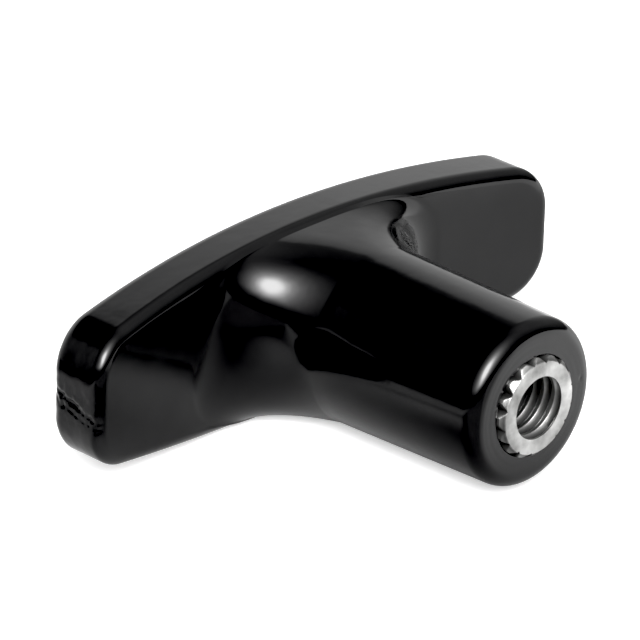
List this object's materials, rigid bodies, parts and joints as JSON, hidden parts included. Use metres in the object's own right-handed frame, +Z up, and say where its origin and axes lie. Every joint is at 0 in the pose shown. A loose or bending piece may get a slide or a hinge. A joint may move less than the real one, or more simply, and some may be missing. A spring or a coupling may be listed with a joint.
{
  "type": "wing nut",
  "caption": "Black moulded tee-handle wing nut with a tapered round hub and a knurled metal insert holding a blind internal thread.",
  "frame": {"origin": "middle of the thread's mouth, on the insert's flat seating face", "axes": "+X along the wings, -Y out of the thread's mouth, +Z up across the wings' height, so the nut lies on its side"},
  "size_m": [0.065, 0.0364, 0.0196],
  "materials": {
    "handle_plastic": "high-gloss black phenolic moulding",
    "insert_metal": "bright plated steel, as turned and knurled"
  },
  "bodies": {
    "root": {"handle": "handle_plastic", "threaded_insert": "insert_metal"}
  },
  "joints": []
}
